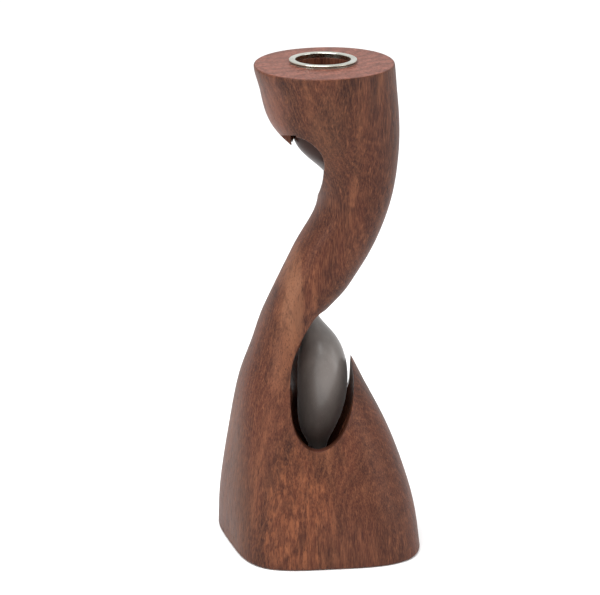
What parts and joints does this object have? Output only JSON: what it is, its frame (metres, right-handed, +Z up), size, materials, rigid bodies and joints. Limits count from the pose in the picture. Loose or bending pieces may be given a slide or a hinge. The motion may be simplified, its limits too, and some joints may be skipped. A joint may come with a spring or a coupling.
{
  "type": "candle holder",
  "caption": "Tall carved hardwood taper candlestick with an S-curved limb, cut-through openings round a polished grey strand, and a metal-lined socket on top.",
  "frame": {"origin": "on the ground, at the middle of the bounding box of the foot", "axes": "+Z up along the candle, +Y to the back, +X to the right as seen from the front"},
  "size_m": [0.0842, 0.076, 0.2034],
  "materials": {
    "red_hardwood": "oiled satin hardwood, reddish brown",
    "polished_grey": "polished dark grey",
    "bright_steel": "polished",
    "screw_steel": "zinc plated",
    "dowel_wood": "plain birch dowel"
  },
  "bodies": {
    "root": {"wood_body": "red_hardwood", "grey_strand": "polished_grey", "socket_collar": "bright_steel", "seat_ring": "bright_steel", "strand_screw": "screw_steel", "strand_dowel": "dowel_wood"}
  },
  "joints": []
}
